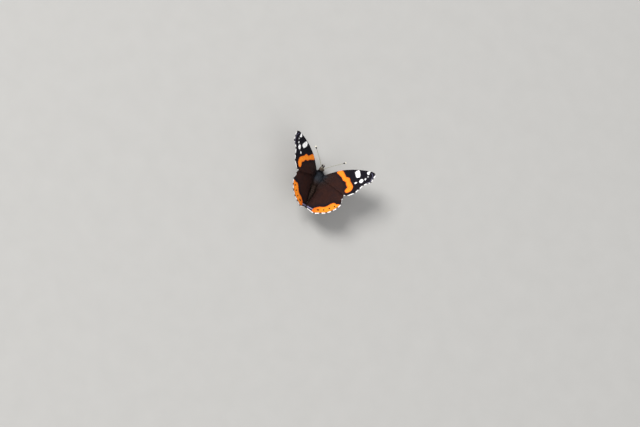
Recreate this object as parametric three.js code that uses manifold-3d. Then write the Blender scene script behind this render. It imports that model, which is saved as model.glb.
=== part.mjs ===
// A red admiral butterfly at life size, standing on its four walking legs with the wings half open.
// Millimetres, +Z up, head towards -Y. Points are counted from the middle of the thorax: side is +1 for
// the insect's left and -1 for its right, out is away from the body, aft is towards the tail.
import * as THREE from 'three';
import { mergeVertices } from 'three/addons/utils/BufferGeometryUtils.js';
import Module from 'manifold-3d';

const wasm = await Module();
wasm.setup();

// Driving dimensions
const STAND_HEIGHT = 6.5;        // floor to the middle of the thorax
const BODY_PLACE = -4.06;        // where the thorax lies along Y, so that the model is centred
const GAP = 0.3;                 // kept between neighbouring pieces

const WING_THICKNESS = 0.5;
const WING_HINGE = { out: 2.0, aft: -2.0, up: 1.6 };
const ROOT_SLOPE = THREE.MathUtils.degToRad(49.9);   // how steeply a wing leaves the body
const TOE_OUT = THREE.MathUtils.degToRad(15.3);      // the bend's axis, turned from the body's length
const BEND = 0.0151;                                 // radians of bend for each millimetre outwards
const HINDWING_LIFT = -0.9;      // the hindwing lies under the forewing
const FOLD_WIDTH = 5.0;          // the hindwing's inner strip, folded down beside the abdomen
const FOLD_CURL = 1.7;           // how strongly the strip's bend gathers at its edge

const EYE_RADIUS = 0.8;
const EYE_SHAPE = [0.75, 1.0, 1.1];      // its width, length and height, as shares of its size
const EYE_PLACE = { out: 1.05, aft: -6.35, up: 0.3 };
const ANTENNA_ROOT = { out: 0.7, aft: -6.85, up: 1.4 };
const ANTENNA_TIP = { out: 10.55, aft: -15.25, up: 6.25 };
const ANTENNA_BOW = 0.5;         // how far its middle stands above a straight line
const CLUB_LENGTH = 2.3;
const LIMB_RADIUS = 0.26;        // the thinnest leg or feeler
const ANTENNA_START = 0.02;      // the shaft starts this share of its length clear of the head
const ANTENNA_STEPS = 5;
// The club's radius at shares of its length
const CLUB_SHAPE = [[0, 0.27], [0.2, 0.36], [0.45, 0.46], [0.7, 0.5], [0.88, 0.44], [1, 0.27]];

// The hindwing's inner edge in the plane of the unbent wing: how far out it lies, how far aft, and how
// deep it is folded down there
const INNER_EDGE = [[1.25, 4.9, 0], [1.0, 6.0, 0.6], [0.8, 7.0, 1.35], [0.6, 9.0, 2.5], [0.7, 11.0, 3.05],
  [1.05, 13.0, 3.25], [1.6, 15.0, 2.9], [2.1, 16.5, 2.4], [2.9, 18.0, 1.5], [4.05, 20.0, 0.65],
  [5.75, 22.9, 0]];

// Outlines in the same plane, as [out, aft] from the hinge
const FOREWING = {
  lift: 0,
  fold: [],
  leading: [[1.0, -1.8], [3.9, -4.8], [8.0, -8.7], [12.6, -11.9], [17.3, -14.5], [21.8, -16.6],
    [25.0, -17.7], [26.6, -17.5]],
  margin: [[26.6, -17.5], [27.5, -16.3], [27.8, -14.1], [28.2, -11.4], [27.1, -9.7], [25.8, -7.2],
    [25.4, -3.7], [24.8, -0.3], [23.4, 2.4], [22.2, 3.9], [20.5, 4.6]],
  trailing: [[1.4, 1.4], [7.0, 2.6], [14.0, 3.9], [20.5, 4.6]],
};
const HINDWING = {
  lift: HINDWING_LIFT,
  fold: INNER_EDGE,
  leading: [[1.6, 1.6], [4.5, -0.5], [9.5, -0.9], [14.5, 0.9], [18.2, 3.3], [20.7, 6.0]],
  margin: [[20.7, 6.0], [20.9, 7.6], [22.4, 10.1], [22.2, 13.7], [20.9, 17.0], [18.9, 19.9], [16.0, 22.0],
    [12.6, 23.9], [10.6, 23.7], [8.2, 23.3], [5.75, 22.9]],
  trailing: INNER_EDGE.map(([out, aft]) => [out, aft]),
};
const ALONG_WING = 20;
const ACROSS_WING = 24;

// Sections of the body from front to back: place along it, middle height, half width, half height
const HEAD = [[-7.6, 0.1, 0.5, 0.5], [-7.3, 0.15, 0.9, 0.95], [-6.7, 0.2, 1.25, 1.3],
  [-6.0, 0.25, 1.4, 1.4], [-5.4, 0.2, 1.25, 1.2], [-5.0, 0.15, 0.9, 0.85]];
const PROTHORAX = [[-4.7, 0.15, 1.2, 1.2], [-4.4, 0.15, 1.75, 1.7], [-4.05, 0.15, 1.95, 1.9]];
const THORAX = [[-3.75, 0.15, 1.9, 1.9], [-3.2, 0.15, 2.5, 2.4], [-2.1, 0.2, 2.9, 2.7],
  [-0.6, 0.2, 3.0, 2.85], [1.0, 0.15, 2.9, 2.75], [2.5, 0.1, 2.45, 2.45], [3.5, 0.05, 1.85, 1.9],
  [3.9, 0.05, 1.4, 1.4]];
const ABDOMEN = [[4.2, 0.1, 1.2, 1.25], [4.8, 0.25, 1.6, 1.65], [6.5, 0.55, 1.85, 1.95],
  [9.0, 0.85, 1.88, 2.0], [11.5, 1.05, 1.65, 1.75], [13.4, 1.2, 1.28, 1.32], [14.9, 1.3, 0.85, 0.85],
  [15.8, 1.35, 0.5, 0.5]];
const BODY_SIDES = 20;
const LIMB_SIDES = 8;

// Legs and mouth parts: points as [out, aft, up] with the radius at each. A walking leg is its hip,
// thigh, knee, shin, heel and foot, and the foot's last part lies on the floor.
const FLOOR = -STAND_HEIGHT;
const LEGS = {
  foreleg: [[0.95, -2.9, -2.85, 0.38], [1.1, -3.5, -3.0, 0.42], [1.2, -4.6, -2.95, 0.4],
    [1.15, -5.4, -2.55, 0.36], [0.95, -6.3, -1.95, LIMB_RADIUS]],
  midleg: [[1.2, -1.1, -3.05, 0.5], [1.9, -1.3, -2.85, 0.48], [2.9, -1.7, -2.2, 0.5],
    [4.2, -2.2, -1.4, 0.42], [5.2, -2.55, -0.85, 0.34], [5.55, -2.75, -1.0, 0.34], [6.3, -3.1, -1.9, 0.34],
    [8.7, -4.15, -5.1, 0.3], [9.1, -4.35, -5.65, 0.3], [9.6, -4.6, FLOOR + 0.5, LIMB_RADIUS],
    [10.6, -5.1, FLOOR + 0.22, LIMB_RADIUS], [12.3, -6.0, FLOOR + 0.2, LIMB_RADIUS]],
  hindleg: [[1.15, 1.4, -2.9, 0.5], [1.8, 1.8, -2.75, 0.48], [2.6, 2.4, -2.2, 0.5], [3.6, 3.2, -1.5, 0.42],
    [4.5, 4.0, -1.0, 0.34], [4.8, 4.35, -1.15, 0.34], [5.3, 4.95, -2.0, 0.34], [7.1, 7.1, -5.1, 0.3],
    [7.4, 7.5, -5.65, 0.3], [7.8, 8.0, FLOOR + 0.5, LIMB_RADIUS], [8.4, 8.9, FLOOR + 0.22, LIMB_RADIUS],
    [9.5, 10.4, FLOOR + 0.2, LIMB_RADIUS]],
};
const PALP = [[0.85, -7.35, -0.95, 0.28], [0.92, -7.9, -1.0, 0.32], [0.95, -8.4, -0.8, 0.34],
  [0.92, -8.85, -0.35, 0.3], [0.88, -9.1, 0.15, LIMB_RADIUS]];
const COIL = { aft: -8.2, up: -1.95, inner: 0.32, outer: 1.05, turns: 1.3, steps: 20 };

// A closed solid through rings of points, each ring with the same even count; its ends are closed
// by strips between the ring's first and second half.
function loft(rings) {
  const count = rings[0].length;
  const positions = rings.flat().flatMap((p) => [p.x, p.y, p.z]);
  const faces = [];
  for (let r = 0; r + 1 < rings.length; r++) {
    for (let i = 0; i < count; i++) {
      const a = r * count + i;
      const b = r * count + (i + 1) % count;
      faces.push(a, b, b + count, a, b + count, a + count);
    }
  }
  const last = (rings.length - 1) * count;
  for (let i = 0; i + 1 < count / 2; i++) {
    const j = count - 1 - i;
    faces.push(i, j, j - 1, i, j - 1, i + 1);
    faces.push(last + i, last + j - 1, last + j, last + i, last + i + 1, last + j - 1);
  }
  const geometry = new THREE.BufferGeometry();
  geometry.setAttribute('position', new THREE.Float32BufferAttribute(positions, 3));
  geometry.setIndex(faces);
  return facingOut(geometry);
}

// Turns every face over if the solid is inside out.
function facingOut(geometry) {
  const place = geometry.attributes.position;
  const index = geometry.index.array;
  const corner = (i) => new THREE.Vector3().fromBufferAttribute(place, index[i]);
  let volume = 0;
  for (let i = 0; i < index.length; i += 3) {
    volume += corner(i).dot(corner(i + 1).cross(corner(i + 2)));
  }
  if (volume < 0) {
    index.reverse();
  }
  return mergeVertices(geometry);
}

// The point of a wing at a place on its flat outline, lifted along the wing's normal.
function wingPoint(side, [out, aft], lift) {
  const slope = ROOT_SLOPE - BEND * out;
  const spread = (Math.sin(ROOT_SLOPE) - Math.sin(slope)) / BEND - lift * Math.sin(slope);
  const rise = (Math.cos(slope) - Math.cos(ROOT_SLOPE)) / BEND + lift * Math.cos(slope);
  return new THREE.Vector3(
    side * (WING_HINGE.out + spread * Math.cos(TOE_OUT) - aft * Math.sin(TOE_OUT)),
    WING_HINGE.aft + spread * Math.sin(TOE_OUT) + aft * Math.cos(TOE_OUT),
    WING_HINGE.up + rise,
  );
}

function curveThrough(points) {
  const corners = points.map(([out, aft]) => new THREE.Vector3(out, aft, 0));
  return new THREE.CatmullRomCurve3(corners, false, 'centripetal');
}

// A wing's plan is filled between its leading edge, its outer margin and its trailing edge.
function wingPlan(outline) {
  const leading = curveThrough(outline.leading);
  const trailing = curveThrough(outline.trailing);
  const margin = curveThrough(outline.margin);
  const between = (along, across) => leading.getPointAt(along).lerp(trailing.getPointAt(along), across);
  return (along, across) => {
    const bulge = margin.getPointAt(across).sub(between(1, across));
    return between(along, across).addScaledVector(bulge, along);
  };
}

// How far a place in the strip beside the abdomen is folded down: most at the wing's inner edge, and
// nothing at the hinge and at the wing's inner corner.
function foldDepth(fold, point) {
  const next = fold.findIndex(([, aft]) => aft > point.y);
  if (next < 1) {
    return 0;
  }
  const [before, after] = [fold[next - 1], fold[next]];
  const part = (point.y - before[1]) / (after[1] - before[1]);
  const edge = THREE.MathUtils.lerp(before[0], after[0], part);
  const depth = THREE.MathUtils.lerp(before[2], after[2], part);
  const share = THREE.MathUtils.clamp(1 - (point.x - edge) / FOLD_WIDTH, 0, 1);
  return depth * share ** FOLD_CURL;
}

function wing(side, outline) {
  const plan = wingPlan(outline);
  const rings = [];
  for (let i = 0; i <= ALONG_WING; i++) {
    const along = i / ALONG_WING;
    const upper = [];
    const lower = [];
    for (let j = 0; j <= ACROSS_WING; j++) {
      const point = plan(along, j / ACROSS_WING);
      const lift = outline.lift - foldDepth(outline.fold, point);
      upper.push(wingPoint(side, point.toArray(), lift + WING_THICKNESS / 2));
      lower.push(wingPoint(side, point.toArray(), lift - WING_THICKNESS / 2));
    }
    rings.push([...upper, ...lower.reverse()]);
  }
  return loft(rings);
}

// A rounded trunk through sections of given middle height, half width and half height.
function trunk(sections) {
  return loft(sections.map(([aft, up, halfWidth, halfHeight]) => {
    const ring = [];
    for (let i = 0; i < BODY_SIDES; i++) {
      const turn = (i + 0.5) * 2 * Math.PI / BODY_SIDES;
      ring.push(new THREE.Vector3(halfWidth * Math.cos(turn), aft, up + halfHeight * Math.sin(turn)));
    }
    return ring;
  }));
}

// A leg or feeler along a bent line, with a radius at each of its points. Nothing of it reaches
// below the floor, so a foot has a flat underside.
function limb(points) {
  const centres = points.map(([x, y, z]) => new THREE.Vector3(x, y, z));
  const normal = new THREE.Vector3(0, 0, 1);
  return loft(centres.map((centre, i) => {
    const before = centres[Math.max(i - 1, 0)];
    const after = centres[Math.min(i + 1, centres.length - 1)];
    const ahead = after.clone().sub(before).normalize();
    normal.addScaledVector(ahead, -normal.dot(ahead)).normalize();
    const across = ahead.clone().cross(normal);
    const ring = [];
    for (let j = 0; j < LIMB_SIDES; j++) {
      const turn = (j + 0.5) * 2 * Math.PI / LIMB_SIDES;
      const point = centre.clone()
        .addScaledVector(normal, points[i][3] * Math.cos(turn))
        .addScaledVector(across, points[i][3] * Math.sin(turn));
      point.z = Math.max(point.z, FLOOR);
      ring.push(point);
    }
    return ring;
  }));
}

const onSide = (side, points) => points.map(([out, ...rest]) => [side * out, ...rest]);

function eyeball(side, radius) {
  const geometry = new THREE.SphereGeometry(radius, 16, 10);
  geometry.scale(...EYE_SHAPE);
  geometry.translate(side * EYE_PLACE.out, EYE_PLACE.aft, EYE_PLACE.up);
  return geometry;
}

// The feeler is nearly straight, bowed a little upwards, and ends in a flattened club.
function antennaPoint(side, along) {
  const root = new THREE.Vector3(side * ANTENNA_ROOT.out, ANTENNA_ROOT.aft, ANTENNA_ROOT.up);
  const tip = new THREE.Vector3(side * ANTENNA_TIP.out, ANTENNA_TIP.aft, ANTENNA_TIP.up);
  const bow = ANTENNA_BOW * Math.sin(Math.PI * along);
  return root.lerp(tip, along).add(new THREE.Vector3(0, 0, bow));
}

const antennaLength = Math.hypot(
  ANTENNA_TIP.out - ANTENNA_ROOT.out, ANTENNA_TIP.aft - ANTENNA_ROOT.aft, ANTENNA_TIP.up - ANTENNA_ROOT.up);
const clubStart = 1 - CLUB_LENGTH / antennaLength;

function antennaShaft(side) {
  const end = clubStart - GAP / antennaLength;
  const points = [];
  for (let i = 0; i <= ANTENNA_STEPS; i++) {
    const along = THREE.MathUtils.lerp(ANTENNA_START, end, i / ANTENNA_STEPS);
    points.push([...antennaPoint(side, along).toArray(), LIMB_RADIUS]);
  }
  return limb(points);
}

function antennaClub(side) {
  return limb(CLUB_SHAPE.map(([part, radius]) => {
    const centre = antennaPoint(side, THREE.MathUtils.lerp(clubStart, 1, part));
    return [...centre.toArray(), radius];
  }));
}

// The tongue is rolled up like a watch spring between the palps.
function coiledTongue() {
  const points = [];
  for (let i = 0; i <= COIL.steps; i++) {
    const part = i / COIL.steps;
    const turn = Math.PI / 2 - part * COIL.turns * 2 * Math.PI;
    const radius = THREE.MathUtils.lerp(COIL.outer, COIL.inner, part);
    points.push([0, COIL.aft + radius * Math.cos(turn), COIL.up + radius * Math.sin(turn), LIMB_RADIUS]);
  }
  return limb(points);
}

function toSolid(geometry) {
  const bare = geometry.clone();
  bare.deleteAttribute('normal');
  bare.deleteAttribute('uv');
  const merged = mergeVertices(bare);
  return new wasm.Manifold(new wasm.Mesh({
    numProp: 3,
    vertProperties: new Float32Array(merged.attributes.position.array),
    triVerts: new Uint32Array(merged.index.array),
  }));
}

function cutFrom(geometry, cutters) {
  let solid = toSolid(geometry);
  for (const cutter of cutters) {
    solid = solid.subtract(toSolid(cutter));
  }
  const mesh = solid.getMesh();
  const result = new THREE.BufferGeometry();
  result.setAttribute('position', new THREE.Float32BufferAttribute(mesh.vertProperties, 3));
  result.setIndex([...mesh.triVerts]);
  return result;
}

const scaledWing = { colour: 0x2a1a14, roughness: 0.75 };
const hairyBody = { colour: 0x3a2f2a, roughness: 0.9 };
const legHorn = { colour: 0x6a5442, roughness: 0.6 };
const feelerHorn = { colour: 0x8c8880, roughness: 0.6 };
const clubHorn = { colour: 0x14110f, roughness: 0.6 };
const eyeLens = { colour: 0x2b1c16, roughness: 0.3 };
const tongueHorn = { colour: 0x3c2b1c, roughness: 0.5 };

const insect = new THREE.Group();

function add(name, geometry, { colour, roughness }) {
  const material = new THREE.MeshStandardMaterial({ color: colour, roughness, metalness: 0 });
  const mesh = new THREE.Mesh(geometry, material);
  mesh.name = name;
  insect.add(mesh);
}

add('head', cutFrom(trunk(HEAD), [eyeball(1, EYE_RADIUS + GAP), eyeball(-1, EYE_RADIUS + GAP)]), hairyBody);
add('prothorax', trunk(PROTHORAX), hairyBody);
add('thorax', trunk(THORAX), hairyBody);
add('abdomen', trunk(ABDOMEN), hairyBody);
add('proboscis', coiledTongue(), tongueHorn);

for (const [side, name] of [[1, 'left'], [-1, 'right']]) {
  add(`eye_${name}`, eyeball(side, EYE_RADIUS), eyeLens);
  add(`palp_${name}`, limb(onSide(side, PALP)), hairyBody);
  add(`antenna_${name}`, antennaShaft(side), feelerHorn);
  add(`club_${name}`, antennaClub(side), clubHorn);
  add(`forewing_${name}`, wing(side, FOREWING), scaledWing);
  add(`hindwing_${name}`, wing(side, HINDWING), scaledWing);
  for (const [leg, points] of Object.entries(LEGS)) {
    add(`${leg}_${name}`, limb(onSide(side, points)), legHorn);
  }
}

insect.position.set(0, BODY_PLACE, STAND_HEIGHT);

const butterfly = new THREE.Group();
butterfly.add(insect);
export default butterfly;
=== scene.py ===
import bpy
import numpy as np
from mathutils import Matrix, Vector


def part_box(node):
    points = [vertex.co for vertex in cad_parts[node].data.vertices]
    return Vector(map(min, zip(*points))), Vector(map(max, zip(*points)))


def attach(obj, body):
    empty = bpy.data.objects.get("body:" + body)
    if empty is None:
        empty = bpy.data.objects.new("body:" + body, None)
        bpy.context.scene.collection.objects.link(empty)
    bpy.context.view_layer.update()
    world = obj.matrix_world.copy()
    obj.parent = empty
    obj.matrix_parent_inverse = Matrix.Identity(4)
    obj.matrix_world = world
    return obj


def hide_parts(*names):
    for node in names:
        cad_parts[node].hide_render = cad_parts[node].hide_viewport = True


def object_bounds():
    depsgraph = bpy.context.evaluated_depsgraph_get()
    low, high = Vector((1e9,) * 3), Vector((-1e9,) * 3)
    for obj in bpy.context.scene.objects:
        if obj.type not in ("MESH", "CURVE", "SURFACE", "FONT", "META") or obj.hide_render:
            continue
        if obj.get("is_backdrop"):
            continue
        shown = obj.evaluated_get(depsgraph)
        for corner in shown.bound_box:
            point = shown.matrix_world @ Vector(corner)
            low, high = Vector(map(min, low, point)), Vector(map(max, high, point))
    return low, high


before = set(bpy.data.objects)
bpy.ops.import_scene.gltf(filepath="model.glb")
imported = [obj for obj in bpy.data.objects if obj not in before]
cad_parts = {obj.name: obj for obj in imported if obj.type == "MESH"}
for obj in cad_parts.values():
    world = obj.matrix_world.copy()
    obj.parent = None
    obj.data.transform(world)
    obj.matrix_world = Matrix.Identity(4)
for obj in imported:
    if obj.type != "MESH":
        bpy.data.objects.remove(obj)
cad_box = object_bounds()

# The trunk is one skin of dark horn: a small head, the deep thorax that holds the flight muscles and
# a tapered abdomen of overlapping rings. It lies inside the coat's outline by the hair's depth.
# Millimetres are counted from a place inside the thorax: out to the insect's left, aft, and up.
MM = 0.001
THORAX_FRONT = 3.75       # how far that place lies behind the thorax's front end
THORAX_RISE = 0.2         # and how far below the middle of its height
thorax_low, thorax_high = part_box("thorax")
thorax_height = (thorax_low.z + thorax_high.z) / 2
MIDDLE = np.array([0, thorax_low.y + THORAX_FRONT * MM, thorax_height - THORAX_RISE * MM])
FLOOR = -MIDDLE[2] / MM
TRUNK = [  # aft, up, half width, half height
    (-7.5, 0.1, 0.2, 0.25), (-7.2, 0.12, 0.7, 0.78), (-6.7, 0.2, 1.02, 1.1), (-6.0, 0.25, 1.14, 1.17),
    (-5.4, 0.2, 1.0, 0.97), (-4.95, 0.15, 0.75, 0.75), (-4.5, 0.15, 1.2, 1.15), (-4.1, 0.15, 1.5, 1.45),
    (-3.4, 0.15, 2.0, 1.95), (-2.1, 0.2, 2.5, 2.35), (-0.6, 0.2, 2.6, 2.5), (1.0, 0.15, 2.5, 2.4),
    (2.5, 0.1, 2.05, 2.05), (3.4, 0.05, 1.5, 1.5), (4.0, 0.1, 1.1, 1.15), (4.9, 0.25, 1.4, 1.45),
    (6.5, 0.55, 1.62, 1.72), (9.0, 0.85, 1.68, 1.8), (11.5, 1.05, 1.48, 1.58), (13.4, 1.2, 1.12, 1.16),
    (14.9, 1.3, 0.66, 0.66), (15.6, 1.35, 0.2, 0.2)]
ABDOMEN_RINGS = 8
ABDOMEN_FROM, ABDOMEN_TO = 4.6, 15.2
RING_STEP = 0.07          # how far a ring's hind rim stands over the next ring, as a share of its width


def linear(code):
    """The linear colour of an sRGB hex code."""
    channels = np.array([int(code[i:i + 2], 16) for i in (1, 3, 5)]) / 255
    return (*np.where(channels <= 0.04045, channels / 12.92, ((channels + 0.055) / 1.055) ** 2.4), 1.0)


def add_node(material, kind, inputs, **settings):
    """Adds a shader node, applies its settings, and links or fills the inputs that are given."""
    node = material.node_tree.nodes.new(kind)
    for name, value in settings.items():
        setattr(node, name, value)
    for key, value in inputs.items():
        if isinstance(value, bpy.types.NodeSocket):
            material.node_tree.links.new(value, node.inputs[key])
        else:
            node.inputs[key].default_value = value
    return node


def new_material(name, roughness, ior):
    """A material with its shader and output, and nothing else."""
    material = bpy.data.materials.new(name)
    material.use_nodes = True
    shader = material.node_tree.nodes["Principled BSDF"]
    shader.inputs["Roughness"].default_value = roughness
    shader.inputs["IOR"].default_value = ior
    return material, shader


def run_along(line):
    """How far along a bent line each of its points lies."""
    return np.concatenate([[0], np.cumsum(np.linalg.norm(np.diff(line, axis=0), axis=1))])


def curve_through(points, count, closed=False):
    """Evenly spaced places on a centripetal spline through the points."""
    p = np.asarray(points, float)
    p = np.vstack([p[-1:], p, p[:2]]) if closed else np.vstack([2 * p[0] - p[1], p, 2 * p[-1] - p[-2]])
    share = np.linspace(0, 1, 40, endpoint=False)[:, None]
    dense = []
    for a, b, c, d in zip(p, p[1:], p[2:], p[3:]):
        ab, bc, cd = (np.linalg.norm(end - start) ** 0.5 for start, end in ((a, b), (b, c), (c, d)))
        leave = ((b - a) / ab - (c - a) / (ab + bc) + (c - b) / bc) * bc
        arrive = ((c - b) / bc - (d - b) / (bc + cd) + (d - c) / cd) * bc
        dense.append(b + leave * share + (3 * (c - b) - 2 * leave - arrive) * share ** 2
                     + (2 * (b - c) + leave + arrive) * share ** 3)
    dense = np.vstack(dense + [p[-2:-1]])
    run = run_along(dense)
    places = np.linspace(0, run[-1], count)
    return np.stack([np.interp(places, run, column) for column in dense.T], axis=1)


def tube_faces(rings, sides):
    """Four-cornered faces of a closed tube, with both ends closed by strips across the ring."""
    row, column = np.meshgrid(np.arange(rings - 1), np.arange(sides), indexing="ij")
    beside = (column + 1) % sides
    wall = np.stack([row * sides + column, row * sides + beside,
                     (row + 1) * sides + beside, (row + 1) * sides + column], axis=-1).reshape(-1, 4)
    near = np.arange(sides // 2 - 1)
    start = np.stack([sides - 1 - near, sides - 2 - near, near + 1, near], axis=1)
    end = start[:, ::-1] + (rings - 1) * sides
    return np.vstack([wall, start, end])


def facing_out(points, faces):
    """The faces of a closed body, turned over if the body is inside out."""
    a, b, c, d = (points[faces[:, corner]] for corner in range(4))
    volume = np.sum(a * np.cross(b, c)) + np.sum(a * np.cross(c, d))
    return faces if volume > 0 else faces[:, ::-1]


def add_tube(name, rings, material):
    """A closed piece through rings of points."""
    points = rings.reshape(-1, 3)
    return add_piece(name, points, facing_out(points, tube_faces(*rings.shape[:2])), material)


def add_piece(name, points, faces, material):
    """A piece from points in millimetres, riding on the one body."""
    mesh = bpy.data.meshes.new(name)
    mesh.vertices.add(len(points))
    mesh.vertices.foreach_set("co", (np.asarray(points) * MM + MIDDLE).ravel())
    mesh.loops.add(faces.size)
    mesh.loops.foreach_set("vertex_index", faces.ravel())
    mesh.polygons.add(len(faces))
    mesh.polygons.foreach_set("loop_start", np.arange(0, faces.size, 4))
    mesh.polygons.foreach_set("use_smooth", np.ones(len(faces), bool))
    mesh.update(calc_edges=True)
    mesh.materials.append(material)
    piece = bpy.data.objects.new(name, mesh)
    bpy.context.scene.collection.objects.link(piece)
    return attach(piece, "root")


trunk_line = curve_through(TRUNK, 400)


def trunk_sizes(aft):
    """Middle height, half width and half height of the trunk, with the abdomen's stepped rings."""
    up, width, height = (np.interp(aft, trunk_line[:, 0], column) for column in trunk_line[:, 1:].T)
    ring = (aft - ABDOMEN_FROM) / (ABDOMEN_TO - ABDOMEN_FROM) * ABDOMEN_RINGS
    step = np.where((ring > 0) & (ring < ABDOMEN_RINGS), RING_STEP * (ring % 1) ** 2, 0)
    return up, width * (1 + step), height * (1 + step)


def trunk_surface(aft, turn):
    """Points of the skin and its outward normals, at places along the trunk and turns round it."""
    up, width, height = trunk_sizes(aft)
    reach = 0.15
    up_ahead, width_ahead, height_ahead = trunk_sizes(aft + reach)
    cosine, sine = np.cos(turn), np.sin(turn)
    points = np.stack([width * cosine, aft, up + height * sine], axis=-1)
    slope = ((width_ahead - width) / width * cosine ** 2 + (height_ahead - height) / height * sine ** 2
             + (up_ahead - up) / height * sine) / reach
    normals = np.stack([cosine / width, -slope, sine / height], axis=-1)
    return points, normals / np.linalg.norm(normals, axis=-1, keepdims=True)


# Horn is a matt dark brown, and its fine scales break the light up.
SKIN_GRAIN = 0.25         # real scales are 0.1 mm, too fine to show
HORN_IOR = 1.56
dark_horn, shader = new_material("scaled_dark_horn", 0.65, HORN_IOR)
place = add_node(dark_horn, "ShaderNodeTexCoord", {}).outputs["Object"]
grain = add_node(dark_horn, "ShaderNodeTexNoise", {
    "Vector": place, "Scale": 1 / (SKIN_GRAIN * MM), "Detail": 4.0})
tint = add_node(dark_horn, "ShaderNodeMix", {
    0: grain.outputs["Fac"], 6: linear("#120e0c"), 7: linear("#2c2019")}, data_type="RGBA")
bump = add_node(dark_horn, "ShaderNodeBump", {
    "Height": grain.outputs["Fac"], "Strength": 0.5, "Distance": 0.04 * MM})
dark_horn.node_tree.links.new(tint.outputs[2], shader.inputs["Base Color"])
dark_horn.node_tree.links.new(bump.outputs["Normal"], shader.inputs["Normal"])

TRUNK_STATIONS, TRUNK_SIDES = 240, 64        # rings along the skin, and points round each
station = np.linspace(TRUNK[0][0], TRUNK[-1][0], TRUNK_STATIONS)[:, None]
around = np.arange(TRUNK_SIDES)[None, :] * 2 * np.pi / TRUNK_SIDES + 0 * station
skin_points, _ = trunk_surface(station + 0 * around, around)
trunk = add_tube("trunk_skin", skin_points, dark_horn)
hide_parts("head", "prothorax", "thorax", "abdomen")

# The coat of the trunk is fine hair, each one a flat blade that leans aft: long and shaggy on the
# thorax, short on the head, and broad scales lying close on the abdomen's rings.
BLADE_PATCH = 0.003       # each blade's share of the baked picture


def store(piece, name, values):
    """Keeps one number for each point of the piece, for its material to read."""
    numbers = piece.data.attributes.new(name, "FLOAT", "POINT").data
    numbers.foreach_set("value", values.astype(np.float32))


def plant(name, material, roots, ahead, normals, lengths, widths, profile, unwrapped, values):
    """Joined blades, one for each root. The profile gives a blade's crossings from root to tip: how
    far along it each lies, how broad it is there and how high it stands, as shares of its size."""
    normals = unit(np.cross(np.cross(ahead, normals), ahead))
    across = np.cross(ahead, normals)
    crossings = []
    corners = []
    for along, broad, rise in profile:
        middle = roots + ahead * (lengths * along)[:, None] + normals * (lengths * rise)[:, None]
        half = across * (widths * broad / 2)[:, None]
        crossings += [middle - half, middle + half]
        corners += [(-0.5, along - 0.5), (0.5, along - 0.5)]
    count = len(crossings)
    first = np.arange(0, count - 2, 2)
    blade = np.stack([first, first + 1, first + 3, first + 2], axis=1)
    faces = (np.arange(len(roots))[:, None, None] * count + blade).reshape(-1, 4)
    piece = add_piece(name, np.stack(crossings, axis=1).reshape(-1, 3), faces, material)
    for key, value in values.items():
        store(piece, key, np.repeat(value, count, axis=0))
    store(piece, "tip", np.tile(np.repeat([along for along, _, _ in profile], 2), len(roots)))
    places = (unwrapped[:, None, :] + np.array(corners)[None] * BLADE_PATCH).reshape(-1, 2)
    layer = piece.data.uv_layers.new(name="OFBake")
    layer.data.foreach_set("uv", places[faces.ravel()].astype(np.float32).ravel())
    return piece


def unit(vectors):
    return vectors / np.linalg.norm(vectors, axis=1, keepdims=True)


def leaning(directions, normals, stand):
    """Unit directions in the surface, raised out of it by a share."""
    level = directions - normals * np.sum(directions * normals, axis=1, keepdims=True)
    return unit(unit(level) + normals * stand)


# Hair shafts are nearly black at the root. Their tips are a cold blue-grey on the chest, a warm brown
# on the abdomen and the wings, and buff below.
body_hair, shader = new_material("fine_insect_hair", 0.55, 1.55)
hair_marks = {mark: add_node(body_hair, "ShaderNodeAttribute", {}, attribute_name=mark).outputs["Fac"]
              for mark in ("tip", "tone", "warm", "pale")}
tips = add_node(body_hair, "ShaderNodeMix", {
    0: hair_marks["warm"], 6: linear("#565e67"), 7: linear("#4d352c")}, data_type="RGBA")
shaft = add_node(body_hair, "ShaderNodeMix", {
    0: hair_marks["tip"], 6: linear("#0d0b0b"), 7: tips.outputs[2]}, data_type="RGBA")
shaft = add_node(body_hair, "ShaderNodeMix", {
    0: hair_marks["pale"], 6: shaft.outputs[2], 7: linear("#a5977e")}, data_type="RGBA")
shade = add_node(body_hair, "ShaderNodeHueSaturation", {
    "Value": hair_marks["tone"], "Color": shaft.outputs[2]})
body_hair.node_tree.links.new(shade.outputs["Color"], shader.inputs["Base Color"])
shader.inputs["Specular IOR Level"].default_value = 0.15      # hair shades hair, so less light gets back

HAIR = [(0, 0.8, 0), (0.5, 1.0, 0.04), (1.0, 0.1, 0.0)]
COATS = {  # count, aft from, aft to, length, width, stand, heading aft, heading up, warmth, paleness
    "thorax_hair": (36000, -3.9, 4.3, 1.6, 0.042, 0.9, 1.0, 0.1, 0.1, 0.0),
    "collar_hair": (10000, -4.9, -3.3, 1.15, 0.04, 1.1, 0.7, 0.4, 0.2, 0.05),
    "head_hair": (9000, -7.2, -4.9, 0.6, 0.032, 0.8, -0.4, 0.5, 0.7, 0.5),
    "face_hair": (9000, -7.48, -6.6, 0.42, 0.03, 0.9, -1.0, -0.1, 0.9, 0.5),
    "abdomen_scales": (13000, 4.2, 15.4, 0.4, 0.15, 0.12, 1.0, 0.0, 1.0, 0.0),
    "abdomen_hair": (9000, 4.2, 15.5, 0.8, 0.038, 0.45, 1.0, 0.0, 0.9, 0.0),
}
BROWN_BY = 3.5            # how far aft of the middle all hair is brown and darker
UNDERSIDE_PALE = 0.55
RIM_FROM, RIM_PALE = 0.62, 0.3               # each abdomen ring ends in a paler rim
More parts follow.
